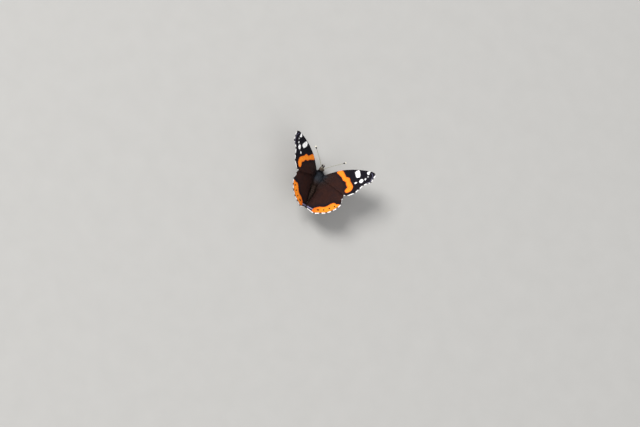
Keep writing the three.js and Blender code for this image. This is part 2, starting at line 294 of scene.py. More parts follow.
for number, (name, coat) in enumerate(COATS.items()):
    count, aft_from, aft_to, length, width, stand, to_aft, to_up, warmth, paleness = coat
    rng = np.random.default_rng(100 + number)
    aft = rng.uniform(aft_from, aft_to, count)
    sizes = trunk_sizes(aft)
    kept = rng.random(count) < (sizes[1] + 0.2) / (trunk_line[:, 2].max() + 0.2)
    aft = aft[kept]
    turn = rng.uniform(0, 2 * np.pi, len(aft))
    roots, normals = trunk_surface(aft, turn)
    heading = np.stack([rng.normal(0, 0.18, len(aft)), 0 * aft + to_aft, 0 * aft + to_up], axis=1)
    heading = heading + rng.normal(0, 0.12, heading.shape)
    ahead = leaning(heading, normals, stand * rng.uniform(0.5, 1.4, (len(aft), 1)))
    under = np.clip(-np.sin(turn) * 1.4 - 0.2, 0, 1) * UNDERSIDE_PALE
    ring = (aft - ABDOMEN_FROM) / (ABDOMEN_TO - ABDOMEN_FROM) * ABDOMEN_RINGS % 1
    rim = RIM_PALE * (name == "abdomen_scales") * np.clip((ring - RIM_FROM) / 0.2, 0, 1)
    behind = np.clip(aft / BROWN_BY, 0, 1)
    along = (aft - TRUNK[0][0]) / (TRUNK[-1][0] - TRUNK[0][0])
    piece = plant(
        name, body_hair, roots, ahead, normals,
        length * rng.uniform(0.6, 1.2, len(aft)), width * rng.uniform(0.7, 1.2, len(aft)), HAIR,
        np.stack([turn / (2 * np.pi), along], axis=1) * 0.98 + 0.01,
        {"tone": rng.uniform(0.5, 1.5, len(aft)) * (1 - 0.3 * behind),
         "pale": np.maximum(np.maximum(under, rim), paleness) * rng.uniform(0.4, 1, len(aft)),
         "warm": np.clip(warmth + rng.normal(0, 0.12, len(aft)) + behind, 0, 1)})

# The compound eyes are large domes of close-packed lenses, dark brown and softly glossy. They are
# set into the sides of the head.
EYE_RADIUS = 0.88
EYE_SHAPE = (0.75, 1.0, 1.1)
EYE_PLACE = (1.03, -6.35, 0.3)
EYE_RIM_SCALES = 420      # cream scales behind and above each eye
LENS_SIZE = 0.09          # real lenses are 0.03 mm, too fine to show
EYE_PATCHES = 0.7         # how large the darker and lighter brown patches are
SIDES = ((1, "left"), (-1, "right"))

# Lenses are clear horn over dark pigment, so the eye is deep brown under a soft gloss.
eye_lenses, shader = new_material("eye_lenses", 0.28, 1.5)
place = add_node(eye_lenses, "ShaderNodeTexCoord", {}).outputs["Object"]
cells = add_node(eye_lenses, "ShaderNodeTexVoronoi", {
    "Vector": place, "Scale": 1 / (LENS_SIZE * MM), "Randomness": 0.35})
bump = add_node(eye_lenses, "ShaderNodeBump", {
    "Height": cells.outputs["Distance"], "Strength": 0.6, "Distance": 0.02 * MM}, invert=True)
patchy = add_node(eye_lenses, "ShaderNodeTexNoise", {
    "Vector": place, "Scale": 1 / (EYE_PATCHES * MM), "Detail": 2.0})
tint = add_node(eye_lenses, "ShaderNodeMix", {
    0: patchy.outputs["Fac"], 6: linear("#140b09"), 7: linear("#4a2a1e")}, data_type="RGBA")
eye_lenses.node_tree.links.new(bump.outputs["Normal"], shader.inputs["Normal"])
eye_lenses.node_tree.links.new(tint.outputs[2], shader.inputs["Base Color"])

EYE_RINGS, EYE_SIDES = 40, 64
polar = np.linspace(0.01, np.pi - 0.01, EYE_RINGS)[:, None]
around = np.arange(EYE_SIDES)[None, :] * 2 * np.pi / EYE_SIDES
dome = np.stack([np.cos(polar) + 0 * around, np.sin(polar) * np.cos(around), np.sin(polar) * np.sin(around)],
                axis=-1)
for side, word in SIDES:
    points = (dome * EYE_RADIUS * EYE_SHAPE + EYE_PLACE) * (side, 1, 1)
    eye = add_tube("compound_eye_" + word, points, eye_lenses)
    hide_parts("eye_" + word)
    rng = np.random.default_rng(150 + side)
    turn = rng.uniform(0, 2 * np.pi, EYE_RIM_SCALES)
    radial = np.stack([0 * turn, np.cos(turn), np.sin(turn)], axis=1)
    roots = (np.array(EYE_PLACE) - (rng.uniform(0.1, 0.3, EYE_RIM_SCALES)[:, None] * (1, 0, 0))
             + radial * EYE_RADIUS * EYE_SHAPE * rng.uniform(0.92, 1.06, (EYE_RIM_SCALES, 1))) * (side, 1, 1)
    normals = unit(radial + (0.9 * side, 0, 0))
    ahead = leaning(radial + (0.9 * side, 0.8, 0), normals, rng.uniform(0.1, 0.4, (EYE_RIM_SCALES, 1)))
    rim = plant(
        "eye_rim_" + word, body_hair, roots, ahead, normals,
        rng.uniform(0.16, 0.28, EYE_RIM_SCALES), rng.uniform(0.05, 0.09, EYE_RIM_SCALES), HAIR,
        np.stack([turn / (2 * np.pi), 0 * turn + 0.1], axis=1) * 0.9 + 0.05,
        {"tone": rng.uniform(0.8, 1.2, EYE_RIM_SCALES), "pale": rng.uniform(0.5, 1.0, EYE_RIM_SCALES),
         "warm": np.ones(EYE_RIM_SCALES)})

# The feelers are slim rods of short rings, dark with a white band at each ring's foot, that end in a
# flattened black club with a pale tip, drawn longer and whiter as a painted glint. Each stands in a small
# round socket between the eyes.
FEELER_ROOT = (0.42, -6.7, 1.1)
FEELER_TIP = (10.55, -15.25, 6.25)
FEELER_BOW = 0.5
CLUB_LENGTH = 2.3
FEELER_RING = 0.36
WHITE_BAND = 0.54         # its share of a ring
ROOT_RADII = {0: 0.26, 0.25: 0.32, 0.5: 0.28, 0.75: 0.22, 3: 0.2}     # a thick knob, then the slim rod
ROD_END_RADIUS = 0.18
CLUB_SWELL = 0.3


def tube(line, radii, sides, flat=1.0):
    """Rings of points round a bent line. The rings turn as little as they can from one to the next."""
    normal = np.array([0.0, 0.0, 1.0])
    turn = np.arange(sides)[:, None] * 2 * np.pi / sides
    rings = []
    for centre, forward, radius in zip(line, unit(np.gradient(line, axis=0)), radii):
        normal = normal - forward * normal.dot(forward)
        normal /= np.linalg.norm(normal)
        across = np.cross(forward, normal)
        rings.append(centre + radius * (flat * np.cos(turn) * normal + np.sin(turn) * across))
    return np.array(rings)


def tube_places(rings, row, rng):
    """Places at random round a bent tube: on its unwrap and in space, with its direction and normal."""
    sides = rings.shape[1]
    turn = rng.uniform(0, sides, len(row))
    column, first = turn.astype(int), row.astype(int)
    part, step = (turn - column)[:, None], (row - first)[:, None]
    points = rings[first] * (1 - step[..., None]) + rings[first + 1] * step[..., None]
    blade = np.arange(len(row))
    roots = points[blade, column] * (1 - part) + points[blade, (column + 1) % sides] * part
    ahead = unit(rings[first + 1].mean(axis=1) - rings[first].mean(axis=1))
    unwrapped = np.stack([turn / sides, row / len(rings)], axis=1) * 0.96 + 0.02
    return unwrapped, roots, ahead, unit(roots - points.mean(axis=1))


# Feeler horn is brown-black, and the bands are white scales on it. The club's white tip is partly its own
# pale colour and partly a painted glint.
feeler_horn, shader = new_material("banded_feeler_horn", 0.5, HORN_IOR)
feeler_marks = {mark: add_node(feeler_horn, "ShaderNodeAttribute", {}, attribute_name=mark).outputs["Fac"]
                for mark in ("run", "club", "pale_tip_and_glint")}
phase = add_node(feeler_horn, "ShaderNodeMath", {0: feeler_marks["run"], 1: FEELER_RING}, operation="DIVIDE")
phase = add_node(feeler_horn, "ShaderNodeMath", {0: phase.outputs[0]}, operation="FRACT")
band = add_node(feeler_horn, "ShaderNodeMapRange", {
    "Value": phase.outputs[0], "From Min": WHITE_BAND + 0.08, "From Max": WHITE_BAND})
tint = add_node(feeler_horn, "ShaderNodeMix", {
    0: band.outputs[0], 6: linear("#2f2a22"), 7: linear("#b4b3a0")}, data_type="RGBA")
tint = add_node(feeler_horn, "ShaderNodeMix", {
    0: feeler_marks["club"], 6: tint.outputs[2], 7: linear("#0e0c0b")}, data_type="RGBA")
# The club's last part is painted white: a real pale tip, lengthened as a painted glint.
tint = add_node(feeler_horn, "ShaderNodeMix", {
    0: feeler_marks["pale_tip_and_glint"], 6: tint.outputs[2], 7: linear("#e6dfc8")}, data_type="RGBA")
feeler_horn.node_tree.links.new(tint.outputs[2], shader.inputs["Base Color"])

FEELER_STATIONS, FEELER_SIDES = 300, 16
share = np.linspace(0, 1, FEELER_STATIONS)
for side, word in SIDES:
    root, end = (np.array(point) * (side, 1, 1) for point in (FEELER_ROOT, FEELER_TIP))
    length = np.linalg.norm(end - root)
    line = root + (end - root) * share[:, None]
    line[:, 2] += FEELER_BOW * np.sin(np.pi * share)
    run = share * length
    to_club = np.clip((run - (length - CLUB_LENGTH)) / CLUB_LENGTH, 0, 1)
    radii = np.interp(run, [*ROOT_RADII, length], [*ROOT_RADII.values(), ROD_END_RADIUS])
    radii *= 1 + 0.08 * np.sin(2 * np.pi * run / FEELER_RING) * (to_club < 0.1)
    radii = radii + CLUB_SWELL * np.sin(np.pi * to_club ** 1.6) ** 0.9
    radii = np.minimum(radii, 0.03 + 0.9 * np.sqrt(np.maximum(length - run, 0)))
    rings = tube(line, radii, FEELER_SIDES, flat=0.85)
    feeler = add_tube("feeler_" + word, rings, feeler_horn)
    # The white at the club's end is partly the real pale tip and partly a painted glint.
    marks = {"run": run, "club": np.clip(to_club * 6, 0, 1), "pale_tip_and_glint": np.clip(to_club * 9 - 5.6, 0, 1)}
    for mark, value in marks.items():
        store(feeler, mark, np.repeat(value, FEELER_SIDES))
    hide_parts("antenna_" + word, "club_" + word)

# The palps are two short brushes that point forward and up beside the tongue. They are covered with
# stiff bristly scales, dark above and cream below.
PALP = [(0.5, -6.9, -0.6), (0.55, -7.6, -0.8), (0.58, -8.2, -0.6), (0.55, -8.75, -0.15), (0.5, -9.1, 0.3)]
PALP_RADII = (0.27, 0.33, 0.33, 0.25, 0.1)
PALP_SCALES = 1600
PALP_STATIONS, PALP_SIDES = 40, 16

for side, word in SIDES:
    line = curve_through(np.column_stack([np.array(PALP) * (side, 1, 1), PALP_RADII]), PALP_STATIONS)
    rings = tube(line[:, :3], line[:, 3], PALP_SIDES)
    palp = add_tube("palp_skin_" + word, rings, dark_horn)
    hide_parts("palp_" + word)
    rng = np.random.default_rng(210 + side)
    unwrapped, roots, ahead, normals = tube_places(rings, rng.uniform(2, PALP_STATIONS - 1, PALP_SCALES), rng)
    ahead = leaning(ahead, normals, rng.uniform(0.1, 0.45, (PALP_SCALES, 1)))
    brush = plant(
        "palp_brush_" + word, body_hair, roots, ahead, normals,
        rng.uniform(0.3, 0.6, PALP_SCALES), rng.uniform(0.035, 0.06, PALP_SCALES), HAIR, unwrapped,
        {"tone": rng.uniform(0.7, 1.3, PALP_SCALES), "pale": np.clip(-normals[:, 2] * 1.6 + 0.1, 0, 1),
         "warm": rng.uniform(0.5, 1, PALP_SCALES)})

# The tongue is a hollow tube of ringed horn that grows from the underside of the head. At rest it is
# rolled up like a watch spring between the palps.
COIL_AFT, COIL_UP = -8.2, -1.95
COIL_OUTER, COIL_INNER, COIL_TURNS = 1.15, 0.25, 3.5
TONGUE_RADIUS = 0.13
TONGUE_RING = 0.12        # real rings are a few hundredths of a millimetre, too fine to show
TONGUE_SIDES = 12

# Its horn is smooth and shines a little on every ring.
tongue_horn, shader = new_material("ringed_tongue_horn", 0.35, HORN_IOR)
run = add_node(tongue_horn, "ShaderNodeAttribute", {}, attribute_name="run")
wave = add_node(tongue_horn, "ShaderNodeMath", {
    0: run.outputs["Fac"], 1: 2 * np.pi / TONGUE_RING}, operation="MULTIPLY")
wave = add_node(tongue_horn, "ShaderNodeMath", {0: wave.outputs[0]}, operation="SINE")
bump = add_node(tongue_horn, "ShaderNodeBump", {
    "Height": wave.outputs[0], "Strength": 0.6, "Distance": 0.02 * MM})
tint = add_node(tongue_horn, "ShaderNodeMix", {
    0: wave.outputs[0], 6: linear("#24170e"), 7: linear("#4c331f")}, data_type="RGBA")
tongue_horn.node_tree.links.new(tint.outputs[2], shader.inputs["Base Color"])
tongue_horn.node_tree.links.new(bump.outputs["Normal"], shader.inputs["Normal"])

share = np.linspace(0, 1, 220)
turn = np.pi * 0.45 - share * COIL_TURNS * 2 * np.pi
reach = COIL_OUTER + (COIL_INNER - COIL_OUTER) * share
line = np.stack([0 * share, COIL_AFT + reach * np.cos(turn), COIL_UP + reach * np.sin(turn)], axis=1)
line = np.vstack([np.linspace((0, -7.1, -0.6), line[0], 12, endpoint=False), line])
tongue = add_tube("coiled_tongue", tube(line, np.full(len(line), TONGUE_RADIUS), TONGUE_SIDES), tongue_horn)
store(tongue, "run", np.repeat(run_along(line), TONGUE_SIDES))
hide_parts("proboscis")

# The legs are jointed horn tubes with bristles: hip and thigh dark and hairy, shin and five-part foot
# paler, with two claws. The front pair is small, brush-like and folded under the chest.
LEGS = {  # points as out, aft, up and radius
    "foreleg": [(0.7, -2.3, -1.9, 0.3), (1.05, -3.3, -2.75, 0.32), (1.2, -4.6, -2.85, 0.28),
                (1.15, -5.4, -2.5, 0.22), (0.95, -6.25, -1.95, 0.1)],
    "midleg": [(0.9, -0.9, -1.9, 0.42), (1.5, -1.15, -2.8, 0.4), (1.9, -1.3, -2.85, 0.3),
               (2.9, -1.7, -2.2, 0.38), (4.2, -2.2, -1.4, 0.33), (5.2, -2.55, -0.85, 0.24),
               (5.6, -2.8, -1.05, 0.22), (6.3, -3.1, -1.9, 0.2), (7.5, -3.6, -3.5, 0.23),
               (9.0, -4.3, -5.55, 0.2)],
    "hindleg": [(0.8, 1.1, -1.8, 0.42), (1.4, 1.5, -2.7, 0.4), (1.8, 1.8, -2.75, 0.3), (2.6, 2.4, -2.2, 0.38),
                (3.6, 3.2, -1.5, 0.33), (4.5, 4.0, -1.0, 0.24), (4.85, 4.4, -1.2, 0.22),
                (5.3, 4.95, -2.0, 0.2), (6.2, 6.0, -3.5, 0.23), (7.35, 7.4, -5.55, 0.2)],
}
FEET = {  # from heel to claws, at the middle of the foot
    "midleg": [(9.0, -4.3, -5.55), (9.6, -4.6, FLOOR + 0.42), (10.6, -5.1, FLOOR + 0.16),
               (12.1, -5.9, FLOOR + 0.14)],
    "hindleg": [(7.35, 7.4, -5.55), (7.8, 8.0, FLOOR + 0.42), (8.4, 8.9, FLOOR + 0.16),
                (9.4, 10.2, FLOOR + 0.14)],
}
FOOT_PARTS = 5
FOOT_RADIUS = 0.15
CLAW = [  # ahead, aside and up from the foot's end
    (-0.05, 0.03, 0.0), (0.12, 0.09, 0.05), (0.26, 0.14, 0.03), (0.34, 0.16, -0.03), (0.38, 0.17, -0.1)]
CLAW_RADII = (0.07, 0.06, 0.05, 0.035, 0.012)
LEG_GRAIN = 0.2           # real scales are 0.1 mm, too fine to show

# Leg horn is dark at the thigh and pale brown below, with a fine grain of scales.
leg_horn, shader = new_material("brown_leg_horn", 0.5, HORN_IOR)
lower = add_node(leg_horn, "ShaderNodeAttribute", {}, attribute_name="lower")
place = add_node(leg_horn, "ShaderNodeTexCoord", {}).outputs["Object"]
grain = add_node(leg_horn, "ShaderNodeTexNoise", {
    "Vector": place, "Scale": 1 / (LEG_GRAIN * MM), "Detail": 3.0})
tint = add_node(leg_horn, "ShaderNodeMix", {
    0: lower.outputs["Fac"], 6: linear("#2a211b"), 7: linear("#8a6c4d")}, data_type="RGBA")
shade = add_node(leg_horn, "ShaderNodeMapRange", {
    "Value": grain.outputs["Fac"], "To Min": 0.55, "To Max": 1.4})
tint = add_node(leg_horn, "ShaderNodeHueSaturation", {"Value": shade.outputs[0], "Color": tint.outputs[2]})
bump = add_node(leg_horn, "ShaderNodeBump", {
    "Height": grain.outputs["Fac"], "Strength": 0.4, "Distance": 0.03 * MM})
leg_horn.node_tree.links.new(tint.outputs["Color"], shader.inputs["Base Color"])
leg_horn.node_tree.links.new(bump.outputs["Normal"], shader.inputs["Normal"])

LEG_STATIONS, FOOT_STATIONS, LEG_SIDES, CLAW_SIDES = 70, 60, 14, 8
LEG_BRISTLES = 1400
for side, word in SIDES:
    for number, (leg, points) in enumerate(LEGS.items()):
        shape = curve_through(points, LEG_STATIONS)
        lower = np.clip((np.linspace(0, 1, LEG_STATIONS) - 0.5) * 4, 0, 1) * (1.0 if leg in FEET else 0.3)
        if leg in FEET:
            foot = curve_through(FEET[leg], FOOT_STATIONS)[1:]
            part = np.linspace(0, FOOT_PARTS, FOOT_STATIONS)[1:]
            radii = FOOT_RADIUS * (0.72 + 0.36 * (part % 1) ** 2)
            shape = np.vstack([shape, np.column_stack([foot, radii])])
            lower = np.concatenate([lower, np.ones(len(foot))])
        line = shape[:, :3] * (side, 1, 1)
        rings = tube(line, shape[:, 3], LEG_SIDES)
        rings[..., 2] = np.maximum(rings[..., 2], FLOOR)
        piece = add_tube(f"{leg}_{word}_horn", rings, leg_horn)
        store(piece, "lower", np.repeat(lower, LEG_SIDES))
        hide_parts(f"{leg}_{word}")
        onward = unit(line[-1:] - line[-4:-3])[0]
        for turn, which in ((-1, "left"), (1, "right")) if leg in FEET else ():
            directions = np.array([onward, np.cross(onward, (0, 0, turn)), (0, 0, 1)])
            hook = tube(line[-1] + np.array(CLAW) @ directions, CLAW_RADII, CLAW_SIDES)
            claw = add_tube(f"{leg}_{word}_claw_{which}", hook, dark_horn)
        rng = np.random.default_rng(300 + 10 * number + side)
        row = rng.uniform(3, len(rings) - 3, LEG_BRISTLES)
        unwrapped, roots, ahead, normals = tube_places(rings, row, rng)
        above_floor = roots[:, 2] > FLOOR + 0.1
        row, unwrapped, roots, ahead, normals = (
            values[above_floor] for values in (row, unwrapped, roots, ahead, normals))
        short = np.interp(row, np.arange(len(lower)), lower)
        ahead = leaning(ahead, normals, (rng.uniform(0.2, 0.7, len(row)) * (1 - 0.6 * short))[:, None])
        brush = plant(
            f"{leg}_{word}_bristles", body_hair, roots, ahead, normals,
            (0.5 - 0.3 * short) * rng.uniform(0.6, 1.3, len(row)), np.full(len(row), 0.045), HAIR, unwrapped,
            {"tone": rng.uniform(0.7, 1.4, len(row)), "pale": 0.55 * short, "warm": np.ones(len(row))})

# Each wing is a thin clear sheet stretched over stiff hollow veins. It is bent a little along its
# length and arches up between its veins. The wings are hinged on the thorax and held in a shallow V,
# the forewing's hind edge over the hindwing.
WING_HINGE = (2.0, -2.0, 1.6)                # out, aft, up
ROOT_SLOPE = np.radians(49.9)
TOE_OUT = np.radians(15.3)
BEND = 0.0151                                # radians for each millimetre outwards
SHEET_THICKNESS = 0.1                        # real ones are 0.01 mm, too thin to carry faces well
COSTA_THICKNESS, COSTA_WIDTH = 0.3, 0.35     # the front edge is a strong vein
VEIN_HEIGHT, VEIN_WIDTH = 0.09, 0.17
ARCH_HEIGHT, ARCH_WIDTH = 0.08, 1.4
FRINGE = 0.85
INNER_EDGE = [  # out, aft, and how deep the hindwing's inner edge is folded down beside the abdomen
    (1.0, 4.9, 0.0), (0.6, 6.0, 0.6), (0.3, 7.0, 1.2), (0.05, 9.0, 2.2), (0.1, 11.0, 2.7), (0.4, 13.0, 2.9),
    (0.95, 15.0, 2.6), (1.45, 16.5, 2.05), (2.3, 18.0, 1.25), (3.65, 20.0, 0.5), (5.55, 22.9, 0.0)]
FOLD_WIDTH, FOLD_CURL = 5.0, 1.7
FOREWING = {  # places on the unbent wing are out and aft of its hinge
    "lift": 0.0,
    "inner": [(0.0, -9.0, 0.0), (0.0, 9.0, 0.0)],     # it isn't folded
    "leading": [(-0.4, -0.6), (1.0, -1.8), (3.9, -4.8), (8.0, -8.7), (12.6, -11.9), (17.3, -14.5),
                (21.8, -16.6), (25.0, -17.7), (26.6, -17.5)],
    "margin": [(26.6, -17.5), (27.5, -16.3), (27.8, -14.1), (28.2, -11.4), (27.1, -9.7), (25.8, -7.2),
               (25.4, -3.7), (24.8, -0.3), (23.4, 2.4), (22.2, 3.9), (20.5, 4.6)],
    "trailing": [(-0.4, 0.9), (1.4, 1.4), (7.0, 2.6), (14.0, 3.9), (20.5, 4.6)],
    "veins": [
        [(0, 0), (5, -5), (9, -8.3), (13.2, -10.6)], [(0, 0), (5, -3), (9, -4.2), (12.5, -5.5), (15.2, -7.3)],
        [(13.5, -10.2), (15.2, -7.3)], [(9.5, -4.3), (16, -2.2), (24.8, -0.3)],
        [(13.2, -5.9), (19, -5), (25.4, -3.7)], [(15.2, -7.3), (20.5, -7.6), (25.8, -7.2)],
        [(14.5, -8.8), (20, -9.6), (27.1, -9.7)], [(13.7, -10.1), (20, -11.3), (28.2, -11.4)],
        [(13.5, -10.4), (20, -13.2), (27.8, -14.1)], [(21.5, -13.9), (26.8, -17.3)],
        [(19.5, -13.1), (24.5, -17.6)], [(12, -10.1), (18, -13.9), (22, -16.6)],
        [(10.5, -9.2), (16, -13), (18.8, -15.2)], [(0, 0), (6, -6.2), (10.5, -10), (14.3, -12.8)],
        [(0.5, 0.3), (8, 1), (16, 3), (21.9, 4.1)]],
}
HINDWING = {
    "lift": -0.9,
    "inner": INNER_EDGE,
    "leading": [(-0.3, 0.7), (1.6, 1.4), (4.5, -0.5), (9.5, -0.9), (14.5, 0.9), (18.2, 3.3), (20.7, 6.0)],
    "margin": [(20.7, 6.0), (20.9, 7.6), (22.4, 10.1), (22.2, 13.7), (20.9, 17.0), (18.9, 19.9), (16.0, 22.0),
               (12.6, 23.9), (10.6, 23.7), (8.2, 23.3), (5.55, 22.9)],
    "trailing": [(0.0, 3.6)] + [(out, aft) for out, aft, _ in INNER_EDGE],
    "veins": [
        [(2, 2.5), (6, 0.8), (13, 1.6), (19.5, 4.8)], [(1.5, 3.6), (9, 5), (15, 5), (20.7, 6.2)],
        [(1.5, 3.8), (7, 6), (10.5, 7), (22.4, 10.1)], [(10.5, 7), (10.8, 8.6), (22.2, 13.7)],
        [(10.6, 10.5), (15, 14), (20.9, 17)],
        [(1.6, 4.0), (5, 7.5), (8, 9.8), (10, 11), (14, 16), (18.9, 19.9)],
        [(10.8, 8.6), (10.6, 10.5), (10, 11)], [(8, 9.8), (12, 16), (16, 22)],
        [(1.8, 4.5), (6.5, 13.5), (12.6, 23.9)], [(1.8, 4.8), (3.2, 13), (5.95, 22.6)]],
}
SHEET_ALONG, SHEET_ACROSS = 150, 110
EDGE_STATIONS = 600
BAKED_WIDTH = 32          # millimetres of the flat wing across its baked picture


def line_distance(places, line):
    """How far places lie from a bent line."""
    start, edge = line[:-1], np.diff(line, axis=0)
    offset = places[:, None, :] - start
    share = np.clip((offset * edge).sum(2) / np.maximum((edge * edge).sum(1), 1e-12), 0, 1)
    return np.linalg.norm(offset - share[..., None] * edge, axis=2).min(1)


def outline_distance(places, points):
    """How far places lie outside the closed curve through the points, less than nothing inside it."""
    outline = curve_through(points, 160, closed=True)
    closed = np.vstack([outline, outline[:1]])
    (x, y), (x_next, y_next) = closed[:-1].T, closed[1:].T
    crossed = (y > places[:, 1:]) != (y_next > places[:, 1:])
    rise = np.where(y_next == y, 1, y_next - y)
    beyond = places[:, :1] < (x_next - x) * (places[:, 1:] - y) / rise + x
    inside = (crossed & beyond).sum(1) % 2 == 1
    return np.where(inside, -1, 1) * line_distance(places, closed)


def wing_place(side, place, lift):
    """Where a place on the unbent wing lies, lifted along the wing's normal."""
    out, aft = place[..., 0], place[..., 1]
    slope = ROOT_SLOPE - BEND * out
    spread = (np.sin(ROOT_SLOPE) - np.sin(slope)) / BEND - lift * np.sin(slope)
    rise = (np.cos(slope) - np.cos(ROOT_SLOPE)) / BEND + lift * np.cos(slope)
    hinge_out, hinge_aft, hinge_up = WING_HINGE
    return np.stack([side * (hinge_out + spread * np.cos(TOE_OUT) - aft * np.sin(TOE_OUT)),
                     hinge_aft + spread * np.sin(TOE_OUT) + aft * np.cos(TOE_OUT), hinge_up + rise], axis=-1)


class Wing:
    """A wing's flat plan between its edges, and its surfaces."""

    def __init__(self, shape):
        self.shape = shape
        self.share = np.linspace(0, 1, EDGE_STATIONS)
        self.edges = {name: curve_through(shape[name], EDGE_STATIONS)
                      for name in ("leading", "margin", "trailing")}
        self.veins = [curve_through(vein, 14) for vein in shape["veins"]]
        near = self.plan(0 * self.share + 0.99, self.share)
        reach = np.linalg.norm(self.plan(0 * self.share + 1, self.share) - near, axis=1) * 100
        self.reach = np.minimum(0.05, FRINGE / reach)

    def at(self, edge, share):
        """Places on one of the edges, by their share of its length."""
        return np.stack([np.interp(share, self.share, column) for column in self.edges[edge].T], axis=-1)

    def plan(self, along, across):
        """A place on the plan, along from root to margin and across from front to hind edge."""
        share = across[:, None]
        end = self.edges["leading"][-1] * (1 - share) + self.edges["trailing"][-1] * share
        between = self.at("leading", along) * (1 - share) + self.at("trailing", along) * share
        return between + (self.at("margin", across) - end) * along[:, None]

    def sheet_end(self, across):
        """How far along the wing the sheet reaches, before the fringe."""
        return 1 - np.interp(across, self.share, self.reach)

    def from_edge(self, along, across):
        """How many millimetres a place lies inside the sheet's outer edge."""
        end = self.sheet_end(across)
        return (end - along) / (1 - end) * FRINGE

    def unwrapped(self, place):
        """Where a place on the plan lies on the wing's baked picture."""
        return (place - self.edges["leading"].min(0) + 1) / BAKED_WIDTH

    def surface(self, side, along, across, above):
        """Points above or below the middle of the sheet, following its veins, arches and fold."""
        place = self.plan(along, across)
        vein = np.min([line_distance(place, line) for line in self.veins], axis=0)
        relief = (VEIN_HEIGHT * np.exp(-(vein / VEIN_WIDTH) ** 2)
                  + ARCH_HEIGHT * (1 - np.exp(-(vein / ARCH_WIDTH) ** 2)))
        front = np.linalg.norm(place - self.at("leading", along), axis=1)
        edge = (COSTA_THICKNESS - SHEET_THICKNESS) / 2 * np.exp(-(front / COSTA_WIDTH) ** 2)
        out, aft, depth = np.array(self.shape["inner"]).T
        inner = np.clip(1 - (place[:, 0] - np.interp(place[:, 1], aft, out)) / FOLD_WIDTH, 0, 1)
        fold = np.interp(place[:, 1], aft, depth) * inner ** FOLD_CURL
        lift = self.shape["lift"] + relief - ARCH_HEIGHT / 2 - fold
        return wing_place(side, place, lift + above + np.sign(above) * edge), place

    def frames(self, side, along, across, above):
        """Points of a surface with the direction to the margin and the outward normal at each."""
        step = 0.004
        points, place = self.surface(side, along, across, above)
        ahead = unit(self.surface(side, along + step, across, above)[0]
                     - self.surface(side, along - step, across, above)[0])
        beside = (self.surface(side, along, np.minimum(across + step, 1), above)[0]
                  - self.surface(side, along, np.maximum(across - step, 0), above)[0])
        normals = unit(np.cross(ahead, beside)) * side * np.sign(above)
        return points, place, ahead, normals


wings = {"forewing": Wing(FOREWING), "hindwing": Wing(HINDWING)}

# The wing's colours lie in its scales, and the sheet under them carries the same marks, drawn darker as
# painted shade in the gaps between the scales. The upper side is velvety black-brown with an orange band,
# white spots and a thin blue-grey line. A mark is an outline, or a bent line with half its width, in places
# on the unbent wing.
FOREWING_BAND = [
    (6.2, -6.3), (7.1, -8.4), (8.7, -8.9), (11.2, -7.7), (13.3, -6.5), (15.4, -6.8), (17.3, -5.2),
    (19.4, -4.1), (20.9, -3.0), (21.5, -1.4), (21.6, 0.1), (21.2, 1.4), (20.1, 2.6), (18.7, 2.2),
    (18.3, 0.5), (18.3, -0.8), (16.7, -1.8), (15.1, -3.3), (13.1, -3.4), (11.2, -4.6), (8.7, -5.4)]
WHITE_PATCH = [(16.0, -11.7), (16.1, -13.2), (17.1, -14.1), (18.2, -13.2), (19.6, -11.9), (20.2, -10.7),
               (19.7, -9.9), (18.9, -9.3), (18.1, -9.7), (17.3, -10.4)]
TIP_SPOT = [(22.3, -14.9), (21.9, -15.8), (22.4, -16.6), (22.9, -17.2), (23.2, -16.6), (23.4, -15.7),
            (23.8, -14.9), (23.1, -14.6)]
LONG_SPOT = [(22.5, -7.4), (21.7, -8.0), (21.6, -9.4), (22.1, -10.2), (23.1, -10.1), (23.4, -9.4),
             (23.4, -8.1)]
SMALL_SPOTS = [([(23.7, -11.6), (23.8, -11.0)], 0.36), ([(20.5, -5.7), (20.8, -6.3)], 0.44)]
FAINT_SPOT = ([(23.9, -13.7), (24.1, -13.3)], 0.3)
APEX_LINE = ([(24.6, -16.6), (26.2, -15.3), (26.7, -13.4), (27.0, -11.4), (26.0, -9.6)], 0.2)
HINDWING_BAND = [
    (23.4, 10.5), (22.3, 10.6), (20.9, 10.7), (20.2, 11.3), (18.2, 11.5), (17.3, 12.4), (16.7, 13.6),
    (16.1, 15.0), (15.5, 16.2), (14.3, 17.2), (12.6, 18.0), (11.4, 19.0), (10.4, 20.0), (9.8, 21.0),
    (9.9, 22.4), (10.6, 24.8), (14.0, 25.0), (18.0, 23.0), (21.0, 20.5), (23.0, 17.0), (24.2, 13.5)]
BAND_DOTS = [([(19.8, 13.3), (20.0, 13.5)], 0.42), ([(18.0, 16.0), (18.2, 16.2)], 0.42),
             ([(15.8, 18.6), (16.0, 18.8)], 0.4), ([(12.5, 20.6), (13.4, 20.2)], 0.42)]
BAND_NOTCH = ([(19.2, 10.0), (19.8, 11.3)], 0.3)
BLUE_STREAK = ([(5.2, 21.3), (8.0, 21.6), (10.2, 21.6)], 0.36)
DARK_TAIL = ((7.5, 22.0), 3.4)               # a black corner's middle, and how far out it reaches
FOREWING_BROWN = {  # how far from the hinge the brown reaches, at each angle behind straight out
    -45: 8.6, -39: 11, -21: 14, -11: 17, -1: 20, 7: 20.5, 12: 27}

